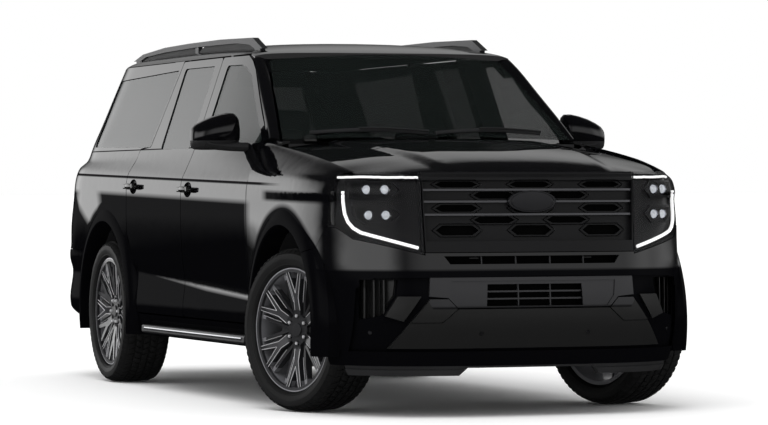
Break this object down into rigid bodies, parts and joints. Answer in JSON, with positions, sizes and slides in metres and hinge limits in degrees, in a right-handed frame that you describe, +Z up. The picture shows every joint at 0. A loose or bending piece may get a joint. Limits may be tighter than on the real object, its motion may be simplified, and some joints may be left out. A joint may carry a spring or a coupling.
{
  "type": "full-size three-row sport utility vehicle",
  "caption": "Long black family sport utility vehicle with opening doors, hood and liftgate, steered front wheels, roof rails and running boards.",
  "frame": {"origin": "on the ground, halfway along the vehicle and on its centre line", "axes": "+X points forward, +Y to the left, +Z up"},
  "size_m": [5.6341, 2.372, 1.978],
  "materials": {
    "alloy": "satin",
    "bare_steel": "satin",
    "black_paint": "gloss",
    "black_plastic": "matte",
    "cabin_plastic": "matte",
    "cast_metal": "rough",
    "frame_steel": "satin",
    "lamp_lens": "gloss",
    "red_lens": "gloss",
    "satin_metal": "satin",
    "seat_leather": "satin",
    "tinted_glass": "gloss",
    "tyre": "matte"
  },
  "bodies": {
    "body": {"air_dam": "black_plastic", "body_sides": "black_paint", "bumper_trim": "black_plastic", "chassis_frame": "frame_steel", "dashboard": "cabin_plastic", "day_lamps": "lamp_lens", "exhaust": "bare_steel", "fenders": "black_paint", "firewall": "black_plastic", "floor": "frame_steel", "front_bumper": "black_paint", "front_suspension": "frame_steel", "fuel_tank": "frame_steel", "grille": "black_plastic", "grille_backing": "black_plastic", "grille_bars": "satin_metal", "headlamps": "lamp_lens", "lamp_housings": "black_plastic", "powertrain": "cast_metal", "propeller_shaft": "bare_steel", "quarter_glass": "tinted_glass", "radiator": "black_plastic", "rear_bumper": "black_paint", "rear_suspension": "frame_steel", "roof": "black_paint", "roof_rails": "satin_metal", "running_boards": "satin_metal", "seats_front": "seat_leather", "seats_middle": "seat_leather", "seats_rear": "seat_leather", "steering_wheel": "cabin_plastic", "tail_lamps": "red_lens", "tow_receiver": "frame_steel", "wheel_houses": "black_plastic", "windshield": "tinted_glass"},
    "door_front_left": {"door_front_left": "black_paint", "glass_front_left": "tinted_glass", "mirror_left": "black_paint"},
    "door_front_right": {"door_front_right": "black_paint", "glass_front_right": "tinted_glass", "mirror_right": "black_paint"},
    "door_rear_left": {"door_rear_left": "black_paint", "glass_rear_left": "tinted_glass"},
    "door_rear_right": {"door_rear_right": "black_paint", "glass_rear_right": "tinted_glass"},
    "hood": {"hood": "black_paint"},
    "liftgate": {"liftgate": "black_paint", "liftgate_glass": "tinted_glass"},
    "knuckle_left": {"knuckle_left": "frame_steel"},
    "knuckle_right": {"knuckle_right": "frame_steel"},
    "wheel_front_left": {"tyre_front_left": "tyre", "rim_front_left": "alloy"},
    "wheel_front_right": {"tyre_front_right": "tyre", "rim_front_right": "alloy"},
    "wheel_rear_left": {"tyre_rear_left": "tyre", "rim_rear_left": "alloy"},
    "wheel_rear_right": {"tyre_rear_right": "tyre", "rim_rear_right": "alloy"}
  },
  "joints": [
    {"name": "open_front_left", "type": "hinge", "parent": "body", "child": "door_front_left", "pos_m": [1.222, 1.001, 0.9], "axis": [0, 0, -1], "range_deg": [0, 67]},
    {"name": "open_front_right", "type": "hinge", "parent": "body", "child": "door_front_right", "pos_m": [1.222, -1.001, 0.9], "axis": [0, 0, 1], "range_deg": [0, 67]},
    {"name": "open_rear_left", "type": "hinge", "parent": "body", "child": "door_rear_left", "pos_m": [0.031, 1.001, 0.9], "axis": [0, 0, -1], "range_deg": [0, 70]},
    {"name": "open_rear_right", "type": "hinge", "parent": "body", "child": "door_rear_right", "pos_m": [0.031, -1.001, 0.9], "axis": [0, 0, 1], "range_deg": [0, 70]},
    {"name": "raise_hood", "type": "hinge", "parent": "body", "child": "hood", "pos_m": [1.377, 0, 1.402], "axis": [0, -1, 0], "range_deg": [0, 50]},
    {"name": "raise_liftgate", "type": "hinge", "parent": "body", "child": "liftgate", "pos_m": [-2.326, 0, 1.932], "axis": [0, 1, 0], "range_deg": [0, 85]},
    {"name": "steer_left", "type": "hinge", "parent": "body", "child": "knuckle_left", "pos_m": [1.833, 0.79, 0.417], "axis": [0, 0, 1], "range_deg": [-52.9, 17.1]},
    {"name": "steer_right", "type": "hinge", "parent": "body", "child": "knuckle_right", "pos_m": [1.833, -0.79, 0.417], "axis": [0, 0, 1], "range_deg": [-52.9, 17.1]},
    {"name": "spin_front_left", "type": "hinge", "parent": "knuckle_left", "child": "wheel_front_left", "pos_m": [1.81394, 0.849, 0.417], "axis": [-0.3074, 0.9516, 0], "continuous": true},
    {"name": "spin_front_right", "type": "hinge", "parent": "knuckle_right", "child": "wheel_front_right", "pos_m": [1.85206, -0.849, 0.417], "axis": [-0.3074, 0.9516, 0], "continuous": true},
    {"name": "spin_rear_left", "type": "hinge", "parent": "body", "child": "wheel_rear_left", "pos_m": [-1.51, 0.852, 0.417], "axis": [0, 1, 0], "continuous": true},
    {"name": "spin_rear_right", "type": "hinge", "parent": "body", "child": "wheel_rear_right", "pos_m": [-1.51, -0.852, 0.417], "axis": [0, 1, 0], "continuous": true}
  ],
  "couplings": [
    {"joint": "steer_right", "follows": "steer_left", "ratio": 1}
  ]
}
